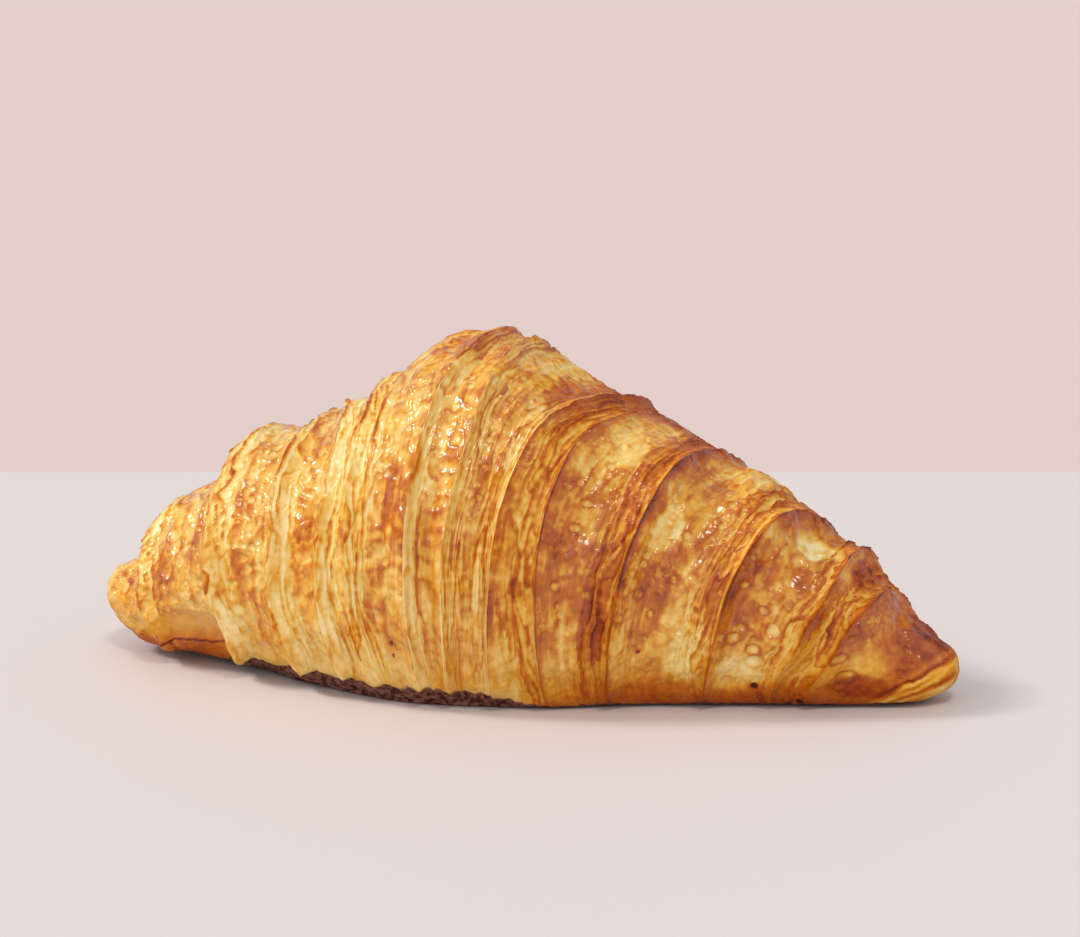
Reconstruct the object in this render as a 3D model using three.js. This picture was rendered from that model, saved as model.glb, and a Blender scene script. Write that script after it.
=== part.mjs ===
// Croissant
//
// One piece of rolled, laminated dough, baked: high and wide in the middle, tapering to two blunt
// tips, and wound in overlapping wraps whose outer edges step down from the middle to each tip.
//
// Units are millimetres. +X runs along the roll, +Y is the back and +Z is up. The flat underside
// rests on z = 0, and the origin is under the middle of the bounding box.

import * as THREE from 'three';

const { degToRad, lerp, smoothstep } = THREE.MathUtils;

// ---- Driving dimensions ----

// Body sections from the left tip to the right tip: [along, top, underside, half width].
// An underside below zero is cut off flat by the surface that the croissant rests on.
const SECTIONS = [
  [-82.8, 12, 12, 0],
  [-82, 14.6, 8.8, 4.4],
  [-79, 17.2, 4.4, 7.9],
  [-75, 18.8, 1.8, 11.1],
  [-71.5, 22.8, 1, 13.6],
  [-68.5, 27.8, 0.8, 15.8],
  [-66, 30.6, 0.6, 17.5],
  [-60, 35.3, 0, 20.3],
  [-55, 37.6, -1, 22],
  [-50, 44, -2, 24],
  [-43, 45.6, -3.6, 26.8],
  [-39, 46.4, -4.8, 28.6],
  [-34, 48.9, -6, 30.3],
  [-24, 56.1, -9, 33.3],
  [-18, 60.8, -10.8, 34.8],
  [-14, 64.2, -11.7, 35.4],
  [-11, 65, -12, 35.6],
  [-7, 64.8, -12, 35.3],
  [1, 63, -11.2, 34.5],
  [12, 57, -9.7, 32],
  [24, 51.2, -7, 27.3],
  [33, 47.4, -5.6, 24.3],
  [38, 44, -5, 22.7],
  [41, 42.3, -4.7, 21.7],
  [44.5, 41.7, -4.5, 20.5],
  [48, 40.2, -4.2, 19.3],
  [53, 36.3, -3.7, 17.7],
  [56.5, 32.3, -3.4, 16.4],
  [59.5, 30.1, -3.1, 15.4],
  [62.5, 29, -2.9, 14.3],
  [66, 26.5, -2.4, 13],
  [70, 21.6, -1.8, 11.4],
  [74, 16, -0.8, 9.3],
  [77, 13.9, 0.2, 7.6],
  [80, 11.4, 2.4, 5.2],
  [82.2, 9.8, 5.6, 3.2],
  [82.8, 9, 9, 0],
];

// Edges of the wraps. `along` is where an edge lies at each of EDGE_ANGLES, which turn from the
// middle of the underside (0) through the front (90) and the top (180) to the back (270).
// `depth` is the drop from the lip of the wrap above to the bottom of the groove, and `reach` is
// how far back from the groove that drop starts.
const EDGE_ANGLES = [50, 90, 135, 195, 270, 320];
const EDGES = [
  { along: [-66.5, -70, -70.5, -68.5, -71, -73.5], depth: 1.5, reach: 1.8 },
  { along: [-49, -52.7, -53.5, -52.5, -56, -60], depth: 2.2, reach: 2.4 },
  { along: [-35, -39, -39.3, -38.6, -43, -46], depth: 1.7, reach: 1.8 },
  { along: [-26, -29.3, -28, -34, -35, -35], depth: 1.2, reach: 1.3 },
  { along: [-19, -23, -23, -26.5, -27, -26.5], depth: 1.1, reach: 1.2 },
  { along: [-10.5, -11.5, -9.5, -4, -12, -17], depth: 1.6, reach: 1.3 },
  { along: [-5.3, -4.7, -1.4, 1, -5, -9], depth: 1.6, reach: 1.3 },
  { along: [2.7, 3.8, 8.4, 21, 23, 20], depth: 1.6, reach: 0.9 },
  { along: [12, 11.6, 15, 26.5, 29, 27], depth: 1.1, reach: 0.9 },
  { along: [22.5, 25, 31, 38.5, 40.5, 39.5], depth: 1.7, reach: 0.9 },
  { along: [39.5, 42.8, 49.5, 57, 59, 57.5], depth: 1.7, reach: 0.9 },
  { along: [51.5, 56.8, 62.5, 65.3, 66.5, 64.5], depth: 1.2, reach: 0.9 },
  { along: [57, 63.3, 68.5, 71.5, 73, 71.5], depth: 1.8, reach: 0.9 },
];
const RIDGE = 0;                // wraps step down from here, to the left and to the right

// How far each wrap bulges, from the one at the left tip to the one at the right tip.
const CROWNS = [1.4, 2, 1.8, 1.2, 0.8, 0.8, 0.7, 0.6, 0.4, 1.2, 2, 2, 1, 0.3];

const SECTION_POWER = 2.2;      // superellipse power of a section; 2 would be an ellipse
const SETTLE = 2;               // height over which the side rounds into the flat underside
const FOOT_FADE = 6;            // height over which the grooves fade in above the underside
const TIP_FADE = 6;             // the same, in from each tip
const LIP_RISE = 0.25;          // share of a groove's depth that its lip stands over the body
const LIP_SLOPE = 6;            // distance over which a wrap rises to its lip
const TUCK_REACH = 4.5;         // from a groove's bottom out to the open face of the wrap below
const TIP_REACH = 0.8;          // from a tip to the first points around it
const CROWN_LEAN = 0.75;        // below 1 the crown lies nearer the wrap's tucked side
const CROWN_POWER = 0.8;        // below 1 the crown is flatter than a sine wave
const TOP_ANGLE = 195;          // where the wraps on the right of the ridge bulge and step least
const TOP_SPREAD = 45;          // how far around the body that reaches
const TOP_CALM = 0.6;           // how much of their relief is lost there
const CRUST_COLOUR = 0xcd8f45;

// ---- Mesh density ----

const AROUND = 56;              // faces around a section
const OPEN_COLUMNS = 5;         // columns across the open face of a wrap

// ---- Curves ----

// A smooth curve through [x, y] knots that never overshoots them (monotone cubic).
function curveThrough(knots) {
  const slopes = knots.slice(1).map(([x, y], i) => (y - knots[i][1]) / (x - knots[i][0]));
  const tangents = knots.map((_, i) => {
    const before = slopes[Math.max(i - 1, 0)];
    const after = slopes[Math.min(i, slopes.length - 1)];
    return before * after <= 0 ? 0 : (2 * before * after) / (before + after);
  });
  return (x) => {
    let i = 0;
    while (i < knots.length - 2 && x > knots[i + 1][0]) i++;
    const [x0, y0] = knots[i];
    const [x1, y1] = knots[i + 1];
    const width = x1 - x0;
    const t = (x - x0) / width;
    const blend = t * t * (3 - 2 * t);
    const bend = t * (1 - t) * width * ((1 - t) * tangents[i] - t * tangents[i + 1]);
    return lerp(y0, y1, blend) + bend;
  };
}

// A closed curve around the body through an edge's positions, as a function of the angle.
function ringThrough(along) {
  const last = along.length - 1;
  const knots = EDGE_ANGLES.map((angle, i) => [angle, along[i]]);
  knots.unshift([EDGE_ANGLES[last] - 360, along[last]]);
  knots.push([EDGE_ANGLES[0] + 360, along[0]], [EDGE_ANGLES[1] + 360, along[1]]);
  return curveThrough(knots);
}

const topAt = curveThrough(SECTIONS.map(([x, top]) => [x, top]));
const undersideAt = curveThrough(SECTIONS.map(([x, , underside]) => [x, underside]));
const halfWidthAt = curveThrough(SECTIONS.map(([x, , , halfWidth]) => [x, halfWidth]));
const LEFT_TIP = SECTIONS[0][0];
const RIGHT_TIP = SECTIONS[SECTIONS.length - 1][0];

// ---- Body ----

function signedPower(value, power) {
  return Math.sign(value) * Math.abs(value) ** power;
}

// Rounds a height into the surface that the croissant rests on.
function settle(z) {
  if (z <= -SETTLE) return 0;
  return z < SETTLE ? (z + SETTLE) ** 2 / (4 * SETTLE) : z;
}

function bodyPoint(along, angle) {
  const top = topAt(along);
  const underside = undersideAt(along);
  const turn = degToRad(angle);
  const y = -halfWidthAt(along) * signedPower(Math.sin(turn), 2 / SECTION_POWER);
  const rise = (-(top - underside) / 2) * signedPower(Math.cos(turn), 2 / SECTION_POWER);
  return new THREE.Vector3(along, y, settle((top + underside) / 2 + rise));
}

// ---- Wraps ----

// Every wrap lies between two edges. Its own outer edge is a lip over the next wrap towards the
// tip, and its inner side is tucked under the wrap nearer the middle.
function listWraps() {
  const tips = [LEFT_TIP, RIGHT_TIP].map((x) => {
    return { ring: () => x, depth: 0, reach: TIP_REACH, middle: x };
  });
  const edges = EDGES.map((edge) => {
    return { ...edge, ring: ringThrough(edge.along), middle: edge.along[1] };
  });
  const borders = [tips[0], ...edges, tips[1]];
  return CROWNS.map((crown, i) => {
    const left = borders[i];
    const right = borders[i + 1];
    return { left, right, crown, leftLip: left.middle < RIDGE, rightLip: right.middle > RIDGE };
  });
}

// Relief beside an edge, at a distance from it. A lip rises over the body and then drops, and a
// tucked side comes up out of the groove.
function reliefBeside({ depth, reach }, isLip, distance) {
  if (!isLip) return (1 - LIP_RISE) * depth * (smoothstep(distance, 0, TUCK_REACH) - 1);
  const rise = LIP_RISE * depth * (1 - smoothstep(distance, 0, LIP_SLOPE));
  return rise + depth * (smoothstep(distance, 0, reach) - 1);
}

// Height of a wrap's crown at a share of the way across it, from 0 at its left edge.
function crownAt(share, { crown, leftLip, rightLip }) {
  const fromTuck = leftLip ? 1 - share : share;
  const lean = leftLip && rightLip ? 1 : CROWN_LEAN;
  return crown * (Math.max(Math.sin(Math.PI * fromTuck ** lean), 0) ** CROWN_POWER - 0.5);
}

// How much of a wrap's relief shows at an angle: all of it, but less over the top on the right.
function reliefShare({ left }, angle) {
  if (left.middle < RIDGE) return 1;
  return 1 - TOP_CALM * Math.exp(-(((angle - TOP_ANGLE) / TOP_SPREAD) ** 2));
}

// Columns across one wrap at one angle, as { along, height }, from its left edge to its right one.
function columnsAcross(wrap, angle) {
  const { left, right, leftLip, rightLip } = wrap;
  const start = left.ring(angle);
  const width = right.ring(angle) - start;
  const first = Math.min(leftLip ? left.reach : TUCK_REACH, width / 4);
  const last = width - Math.min(rightLip ? right.reach : TUCK_REACH, width / 4);
  const distances = [0];
  for (let i = 0; i < OPEN_COLUMNS; i++) {
    distances.push(lerp(first, last, i / (OPEN_COLUMNS - 1)));
  }
  return distances.map((distance) => {
    const crown = crownAt(distance / width, wrap);
    const leftRelief = reliefBeside(left, leftLip, distance);
    const rightRelief = reliefBeside(right, rightLip, width - distance);
    const height = (crown + leftRelief + rightRelief) * reliefShare(wrap, angle);
    return { along: start + distance, height };
  });
}

// Rings of points around the body, one for each column of each wrap, without the two tips.
function wrappedRings() {
  const columns = Array.from({ length: AROUND }, (_, j) => {
    const angle = (360 * j) / AROUND;
    const across = listWraps().flatMap((wrap) => columnsAcross(wrap, angle));
    return across.slice(1).map(({ along, height }) => ({ point: bodyPoint(along, angle), height }));
  });
  return columns[0].map((_, i) => columns.map((column) => column[i]));
}

// Moves each point out from the body by its height, square to the body's surface.
function raise(rings) {
  return rings.map((ring, i) => ring.map(({ point, height }, j) => {
    const before = rings[Math.max(i - 1, 0)][j].point;
    const after = rings[Math.min(i + 1, rings.length - 1)][j].point;
    const lower = ring[(j + AROUND - 1) % AROUND].point;
    const upper = ring[(j + 1) % AROUND].point;
    const outward = upper.clone().sub(lower).cross(after.clone().sub(before)).normalize();
    const fromTip = Math.min(point.x - LEFT_TIP, RIGHT_TIP - point.x);
    const fade = smoothstep(point.z, 0, FOOT_FADE) * smoothstep(fromTip, 0, TIP_FADE);
    return point.clone().addScaledVector(outward, height * fade);
  }));
}

// ---- Solid ----

// A closed skin over the rings, with one point at each tip.
function closedSkin(rings) {
  const points = [bodyPoint(LEFT_TIP, 0), ...rings.flat(), bodyPoint(RIGHT_TIP, 0)];
  const last = points.length - 1;
  const at = (i, j) => 1 + i * AROUND + (j % AROUND);
  const faces = [];
  for (let j = 0; j < AROUND; j++) {
    faces.push(0, at(0, j), at(0, j + 1));
    for (let i = 0; i < rings.length - 1; i++) {
      faces.push(at(i, j), at(i + 1, j), at(i + 1, j + 1));
      faces.push(at(i, j), at(i + 1, j + 1), at(i, j + 1));
    }
    faces.push(at(rings.length - 1, j), last, at(rings.length - 1, j + 1));
  }
  const geometry = new THREE.BufferGeometry().setFromPoints(points);
  geometry.setIndex(faces);
  return geometry;
}

// Puts the origin under the middle of the bounding box. The underside is at z = 0 already.
function centreOverOrigin(geometry) {
  geometry.computeBoundingBox();
  const middle = geometry.boundingBox.getCenter(new THREE.Vector3());
  geometry.translate(-middle.x, -middle.y, 0);
  geometry.computeVertexNormals();
  return geometry;
}

function makeCroissant() {
  const crust = new THREE.MeshStandardMaterial({ color: CRUST_COLOUR, roughness: 0.5, metalness: 0 });
  const skin = closedSkin(raise(wrappedRings()));
  const mesh = new THREE.Mesh(centreOverOrigin(skin), crust);
  mesh.name = 'croissant';
  return mesh;
}

const croissant = new THREE.Group();
croissant.add(makeCroissant());

export default croissant;
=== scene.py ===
# Butter croissant: the baked crust of one straight, laminated croissant, on a plain pale table.
#
# The crust is one skin. It starts from the body's sections, is wound with wraps whose outer edges
# step down to the tips, and then gets its laminated layers, blisters and baking colour. Lengths
# inside the shaping code are millimetres, angles there are degrees, and Blender's objects are in
# metres.

import math

import bpy
import numpy as np
from bpy.props import (
    FloatProperty,
    FloatVectorProperty,
    IntProperty,
    PointerProperty,
)
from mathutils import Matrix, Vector


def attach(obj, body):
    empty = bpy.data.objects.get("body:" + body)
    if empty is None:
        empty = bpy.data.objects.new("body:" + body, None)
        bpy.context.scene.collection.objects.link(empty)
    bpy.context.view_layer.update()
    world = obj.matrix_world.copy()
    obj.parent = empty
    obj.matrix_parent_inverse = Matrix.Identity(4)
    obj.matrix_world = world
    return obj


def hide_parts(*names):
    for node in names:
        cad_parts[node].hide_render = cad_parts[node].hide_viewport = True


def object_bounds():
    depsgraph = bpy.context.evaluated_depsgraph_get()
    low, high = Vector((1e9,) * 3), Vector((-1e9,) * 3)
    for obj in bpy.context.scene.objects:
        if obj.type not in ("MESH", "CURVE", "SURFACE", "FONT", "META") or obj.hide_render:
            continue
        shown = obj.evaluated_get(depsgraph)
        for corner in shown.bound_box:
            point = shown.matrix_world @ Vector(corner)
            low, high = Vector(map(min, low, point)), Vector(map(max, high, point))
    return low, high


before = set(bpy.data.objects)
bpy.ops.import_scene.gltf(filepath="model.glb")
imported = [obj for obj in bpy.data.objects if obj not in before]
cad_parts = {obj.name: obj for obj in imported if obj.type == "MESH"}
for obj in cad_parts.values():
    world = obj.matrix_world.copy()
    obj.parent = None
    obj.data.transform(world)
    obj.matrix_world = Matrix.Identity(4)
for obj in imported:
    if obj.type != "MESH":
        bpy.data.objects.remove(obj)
CAD_LOW, CAD_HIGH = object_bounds()

bl_info = {
    "name": "Butter Croissant",
    "version": (1, 0, 0),
    "blender": (4, 5, 0),
    "location": "3D View > Sidebar > Croissant",
    "description": "Builds a laminated croissant on a plain table",
    "category": "Mesh",
}

MM = 0.001
GRAIN_HEIGHT = 0.0003  # height in metres of the crust's fine grain

# ---- The stage, in metres ----

AIM_RIGHT = 0.0039  # from the croissant's middle to the middle of the view
AIM_UP = 0.0064
TABLE_REACH = 4  # how far the table top goes to each side, and towards the camera
WALL_DROP = 0.6  # the backdrop lies this far below the table top, and shows behind it
WALL_REACH = 40  # how far it goes to each side and to the back
WALL_STRETCH = 8  # how many times further than the table top it goes to the front

SKY_COLOUR = (0.97, 1.0, 1.05)
SKY_STRENGTH = 0.555
# Where each light comes from is its azimuth and elevation, in degrees, as its spread is.
SUNS = {
    "key_light": dict(direction=(-77, 44), strength=1.2, spread=13, colour=(1.0, 0.98, 0.94)),
    "left_sparkle": dict(direction=(-76, 40), strength=0.35, spread=7, colour=(1.0, 0.99, 0.95)),
    "right_sparkle": dict(direction=(26, 57), strength=0.75, spread=9.5, colour=(1.0, 0.97, 0.88)),
    "fill_light": dict(direction=(-12, 32), strength=0.62, spread=60, colour=(1.0, 0.99, 0.99)),
}

# ---- The body, the same as the CAD solid ----

# Body sections from the left tip to the right tip: along, top, underside, half width.
SECTIONS = [
    (-82.8, 12, 12, 0),
    (-82, 14.6, 8.8, 4.4),
    (-79, 17.2, 4.4, 7.9),
    (-75, 18.8, 1.8, 11.1),
    (-71.5, 22.8, 1, 13.6),
    (-68.5, 27.8, 0.8, 15.8),
    (-66, 30.6, 0.6, 17.5),
    (-60, 35.3, 0, 20.3),
    (-55, 37.6, -1, 22),
    (-50, 44, -2, 24),
    (-43, 45.6, -3.6, 26.8),
    (-39, 46.4, -4.8, 28.6),
    (-34, 48.9, -6, 30.3),
    (-24, 56.1, -9, 33.3),
    (-18, 60.8, -10.8, 34.8),
    (-14, 64.2, -11.7, 35.4),
    (-11, 65, -12, 35.6),
    (-7, 64.8, -12, 35.3),
    (1, 63, -11.2, 34.5),
    (12, 57, -9.7, 32),
    (24, 51.2, -7, 27.3),
    (33, 47.4, -5.6, 24.3),
    (38, 44, -5, 22.7),
    (41, 42.3, -4.7, 21.7),
    (44.5, 41.7, -4.5, 20.5),
    (48, 40.2, -4.2, 19.3),
    (53, 36.3, -3.7, 17.7),
    (56.5, 32.3, -3.4, 16.4),
    (59.5, 30.1, -3.1, 15.4),
    (62.5, 29, -2.9, 14.3),
    (66, 26.5, -2.4, 13),
    (70, 21.6, -1.8, 11.4),
    (74, 16, -0.8, 9.3),
    (77, 13.9, 0.2, 7.6),
    (80, 11.4, 2.4, 5.2),
    (82.2, 9.8, 5.6, 3.2),
    (82.8, 9, 9, 0),
]
SECTION_POWER = 2.2  # superellipse power of a section
SETTLE = 2.0  # height over which the side rounds into the flat underside
LEFT_TIP = SECTIONS[0][0]
RIGHT_TIP = SECTIONS[-1][0]

# Where each edge lies at these angles, which turn from the middle of the underside (0) through
# the front (90) and the top (180) to the back (270). `depth` is the drop from the wrap above to
# the groove, `reach` how far back from the groove that drop starts, `overhang` how far the lip
# hangs over the groove, and the last how much painted shade darkens the groove and the lip's edge
# beside it.
EDGE_ANGLES = (50, 90, 135, 195, 270, 320)
EDGES = [
    dict(along=(-66.5, -70, -70.5, -68.5, -71, -73.5), depth=1.5, reach=1.8, overhang=0, crease=0.08),
    dict(along=(-49, -52.7, -53.5, -52.5, -56, -60), depth=2.2, reach=2.4, overhang=0, crease=0.05),
    dict(along=(-35, -39, -39.3, -38.6, -43, -46), depth=1.7, reach=1.8, overhang=0, crease=0.1),
    dict(along=(-26, -29.3, -28, -34, -35, -35), depth=1.2, reach=1.3, overhang=0, crease=0.1),
    dict(along=(-19, -23, -23, -26.5, -27, -26.5), depth=1.1, reach=1.2, overhang=0, crease=0.1),
    dict(along=(-10.5, -11.5, -9.5, -4, -12, -17), depth=1.6, reach=1.3, overhang=0.1, crease=0.12),
    dict(along=(-5.3, -4.7, -1.4, 1, -5, -9), depth=1.6, reach=1.3, overhang=0.1, crease=0.12),
    dict(along=(2.7, 3.8, 8.4, 21, 23, 20), depth=1.6, reach=0.9, overhang=0.3, crease=0.32),
    dict(along=(12, 11.6, 15, 26.5, 29, 27), depth=1.1, reach=0.8, overhang=0.3, crease=0.4),
    dict(along=(22.5, 25, 31, 38.5, 40.5, 39.5), depth=1.7, reach=0.8, overhang=0.5, crease=0.8),
    dict(along=(39.5, 42.8, 49.5, 57, 59, 57.5), depth=1.7, reach=0.9, overhang=0.5, crease=0.7),
    dict(along=(51.5, 56.8, 62.5, 65.3, 66.5, 64.5), depth=1.2, reach=0.9, overhang=0.2, crease=0.18),
    dict(along=(57, 63.3, 68.5, 71.5, 73, 71.5), depth=1.8, reach=0.8, overhang=0.2, crease=0.2),
]
MIDDLE_WRAP = 7  # the wraps step down from this one, to the left and to the right
NO_EDGE = 0.001  # stands for an edge's measures where a wrap has no edge

# How each wrap between two edges baked, from the left tip to the right one. `face` is how brown
# its open face is, `strip` how brown the dry, layered strip beside its lip is, `wash` its egg
# wash, `band` the width of the strip, `pitch` the width of one layer there, `crown` how far the
# wrap bulges, `pale` how much paler its lip is, partly its own paler dough and partly a painted
# highlight along the lip, and `wrinkled` how rough its washed skin dried.
WRAP_FIELDS = ("face", "strip", "wash", "band", "pitch", "crown", "pale", "wrinkled")
WRAPS = [
    (0.42, 0.34, 0.60, 2.5, 0.9, 1.4, 0.05, 0.7),
    (0.42, 0.32, 1.00, 2.6, 0.8, 2.0, 0.12, 1.0),
    (0.45, 0.28, 1.00, 3.6, 0.8, 1.8, 0.15, 1.0),
    (0.48, 0.30, 1.00, 3.0, 0.8, 1.2, 0.15, 1.0),
    (0.40, 0.28, 0.90, 4.0, 1.0, 0.8, 0.12, 0.8),
    (0.48, 0.32, 0.90, 4.0, 1.0, 0.8, 0.18, 0.8),
    (0.46, 0.34, 0.90, 3.5, 0.9, 0.7, 0.28, 0.8),
    (0.50, 0.40, 0.90, 3.5, 0.9, 0.6, 0.28, 0.8),
    (0.55, 0.49, 0.60, 6.0, 1.0, 0.4, 0.10, 0.6),
    (0.56, 0.66, 1.00, 6.0, 0.7, 1.2, 0.05, 0.5),
    (0.48, 0.58, 1.00, 6.0, 0.7, 2.0, 0.05, 0.5),
    (0.56, 0.48, 1.00, 4.0, 0.7, 2.0, 0.05, 0.6),
    (0.56, 0.53, 0.80, 4.0, 0.8, 1.0, 0.00, 0.6),
    (0.64, 0.50, 0.85, 1.5, 0.8, 0.3, 0.00, 0.6),
]

# Patches that baked their own way: along, angle, how far each reaches across its wrap and along
# it, how much browner it is baked and how high it stands.
PATCHES = [
    # This raised, paler patch is partly a painted highlight.
    (33.5, 119, 2.6, 5, -0.26, 0.45),
    (33, 99, 4.5, 7, 0.14, 0),
    (30, 84, 3.5, 6, 0.16, 0),
    (37, 71, 3, 7, -0.26, 0.1),
    (45.5, 62, 3.6, 4.5, -0.2, 0.1),
    (51, 108, 4, 8, 0.12, 0),
    (59, 158, 3, 4, -0.34, 0.5),
    (19, 97, 5, 7, 0.14, 0),
    (20, 130, 4, 7, -0.12, 0),
    (21, 78, 2.6, 7, 0.18, 0),
    (-15.5, 109, 1.2, 9, 0.26, 0.2),
    (-32.5, 108, 1.8, 5, 0.2, 0),
    (-76, 125, 1.3, 1.6, 0.4, 0.2),
    (-9, 168, 5, 7, 0.2, 0.2),
    (-2, 190, 4, 6, 0.12, 0),
    (14, 176, 3, 16, 0.26, 0),
    (8.2, 90, 1.2, 1.6, 0.12, -0.3),
    (3.7, 82, 0.7, 3.4, 0.2, -0.1),
    (1.3, 89, 0.9, 5, -0.26, 0.2),
    (67, 62, 3.6, 2.6, 0.3, 0.2),
    (67, 160, 2, 6, 0.3, 0),
    (30, 195, 5, 9, 0.16, 0),
]

# Single bubbles with a brown rim: along, angle and radius.
BUBBLES = [
    (18.2, 111, 1.0),
    (19.9, 121, 0.9),
    (15.1, 92, 0.8),
    (29.3, 92, 0.8),
    (31.2, 86, 0.7),
    (45.3, 81, 1.0),
    (47.2, 104, 0.7),
    (48.8, 76, 0.9),
    (48.8, 70, 1.2),
    (50.7, 95, 0.7),
    (52.3, 88, 1.0),
    (63.4, 83, 1.0),
    (64.9, 69, 1.2),
]

# Burnt crumbs: along, angle and radius.
CRUMBS = [(-15.1, 71, 0.5), (-15, 67, 0.4), (28.8, 71, 0.4), (48.4, 54, 0.6), (56.2, 44, 0.8)]

# The flap folded over the front of the second wrap.
FLAP_AT = (-60, 63)  # along and angle of its middle
FLAP_LEAN = 0.35
FLAP_FLAT = (4.2, 1.2)  # half width and half height of its flat part
FLAP_EDGE = 3.4  # from the flat part out to its rim, whose lower side has painted shade
FLAP_HEIGHT = 1.3

# The right tip's end, which was cut off below a line that climbs towards the tip.
CUT_ALONG = 66.5  # where that line leaves the table
CUT_SLOPE = 0.57
CUT_DEPTH = 0.36  # how deep the cut goes for each millimetre below the line
CUT_FADE = (66, 70)  # along, from where the cut starts to show to where it shows in full

# The dark sole that shows below the front: along, fading in and fading out.
SOLE_START = (-60, -46)
SOLE_END = (-4, 14)

# Bands around the roll: the angle of the middle, and how far the band spreads to each side.
CALM_TOP = (195, 45)  # the wraps of the right side are flatter here
DULL_TOP = (195, 40)  # little egg wash stayed on here
BROWN_TOP = (185, 45)  # the strips beside the lips baked browner here
BROAD_TOP = (178, 36)  # the painted shade in the right side's grooves spreads over a broader strip here
FRONT_HEAT = (103, 34)  # the oven browned the roll most in these three
TOP_HEAT = (180, 50)
BACK_HEAT = (250, 40)
FIRST_BROWN_TOP = 5  # the first wrap whose top baked brown and dull

TIP_FADE = 4.0  # distance from a tip over which the wraps' relief fades in
FOOT_FADE = 6.0  # height above the table over which it fades in
LIP_RISE = 0.25  # share of a groove's depth that stands over the body, the rest lies below it
LIP_SLOPE = 6.0  # distance over which a wrap rises to its lip
TUCK_REACH = 4.5  # from a groove's bottom out to the open face of the wrap below
CROWN_LEAN = 0.75  # under 1, the bulge of a wrap leans towards its tucked side
CROWN_POWER = 0.8  # under 1, the bulge is broad and round
TOP_CALM = 0.6  # share of the wraps' relief that is lost in the middle of CALM_TOP

# How the grid is laid out, and the noise over it.
UNDERSIDE_ROWS = 0.4  # rows on the flat underside, as a share of those elsewhere
UNDERSIDE_ANGLES = (25, 50)  # where the rows grow denser, from the middle of the underside
SPARE_COLUMNS = 14  # columns that even a narrow wrap has
EDGE_CROWDING = 0.62  # how far the columns crowd towards the edges, from 0 to 1

ROLL_RADIUS = 30  # a usual radius of the roll, which sets the scale of what runs around it
NOISE_SEED = 11


def monotone_curve(knots):
    """A smooth curve through (x, y) knots that never overshoots them, for whole arrays."""
    x, y = np.array(knots, float).T
    slopes = np.diff(y) / np.diff(x)
    before = np.append(slopes[:1], slopes)
    after = np.append(slopes, slopes[-1:])
    same_way = before * after > 0
    total = np.where(same_way, before + after, 1)
    tangents = np.where(same_way, 2 * before * after / total, 0)

    def curve(at):
        i = np.clip(np.searchsorted(x, at, side="left") - 1, 0, len(x) - 2)
        width = x[i + 1] - x[i]
        t = (at - x[i]) / width
        bend = t * (1 - t) * width * ((1 - t) * tangents[i] - t * tangents[i + 1])
        return y[i] + (y[i + 1] - y[i]) * t * t * (3 - 2 * t) + bend

    return curve


def ring_curve(along):
    """A closed curve around the body through an edge's positions, as a function of the angle."""
    knots = list(zip(EDGE_ANGLES, along))
    first = (EDGE_ANGLES[-1] - 360, along[-1])
    wrapped = [(EDGE_ANGLES[0] + 360, along[0]), (EDGE_ANGLES[1] + 360, along[1])]
    return monotone_curve([first] + knots + wrapped)


def smooth(low, high, value):
    """0 at low, 1 at high, with an eased ramp between."""
    t = np.clip((value - low) / (high - low), 0, 1)
    return t * t * (3 - 2 * t)


def mix(a, b, share):
    return a + (b - a) * share


# ---- Noise over whole arrays of points ----


class Noise:
    """Seeded gradient noise and scattered cells, for whole arrays of points."""

    def __init__(self, seed):
        numbers = np.random.default_rng(seed)
        self.order = np.tile(numbers.permutation(256), 3).astype(np.int32)
        directions = numbers.normal(size=(3, 256))
        directions /= np.linalg.norm(directions, axis=0)
        self.directions = directions.astype(np.float32)
        self.dots = numbers.random((3, 256)).astype(np.float32)

    def lattice(self, points, size):
        """Lattice cells as whole numbers, and where the points lie inside them."""
        scaled = (points.reshape(-1, 3).T / size).astype(np.float32)
        floor = np.floor(scaled)
        return floor.astype(np.int32), scaled - floor

    def key(self, cell, offset):
        """A number from 0 to 255 for each lattice corner."""
        x, y, z = ((part + step) & 255 for part, step in zip(cell, offset))
        return self.order[self.order[self.order[x] + y] + z]

    def at(self, points, size):
        """Smooth noise from about -1 to 1 whose lumps are about `size` across."""
        cell, inside = self.lattice(points, size)
        ease = inside**3 * (inside * (inside * 6 - 15) + 10)
        total = np.zeros(inside.shape[1], np.float32)
        for offset in np.ndindex(2, 2, 2):
            key = self.key(cell, offset)
            pull = sum(self.directions[i][key] * (inside[i] - offset[i]) for i in range(3))
            for i in range(3):
                pull *= ease[i] if offset[i] else 1 - ease[i]
            total += pull
        return (total * 1.6).reshape(points.shape[:-1])

    def rough(self, points, size, octaves=3):
        """Noise with finer and finer lumps added."""
        total = sum(self.at(points + 37.0 * i, size / 2**i) / 2**i for i in range(octaves))
        return total / (2 - 2 ** (1 - octaves))

    def cells(self, points, size):
        """Distance to the nearest scattered dot, in units of `size`, and that dot's own number."""
        cell, inside = self.lattice(points, size)
        nearest = np.full(inside.shape[1], 9, np.float32)
        number = np.zeros(inside.shape[1], np.float32)
        for offset in np.ndindex(3, 3, 3):
            step = [part - 1 for part in offset]
            key = self.key(cell, step)
            gap = sum((step[i] + self.dots[i][key] - inside[i]) ** 2 for i in range(3))
            closer = gap < nearest
            nearest[closer] = gap[closer]
            number[closer] = key[closer] / 255
        shape = points.shape[:-1]
        return np.sqrt(nearest).reshape(shape), number.reshape(shape)


# ---- The crust's surface ----


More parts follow.
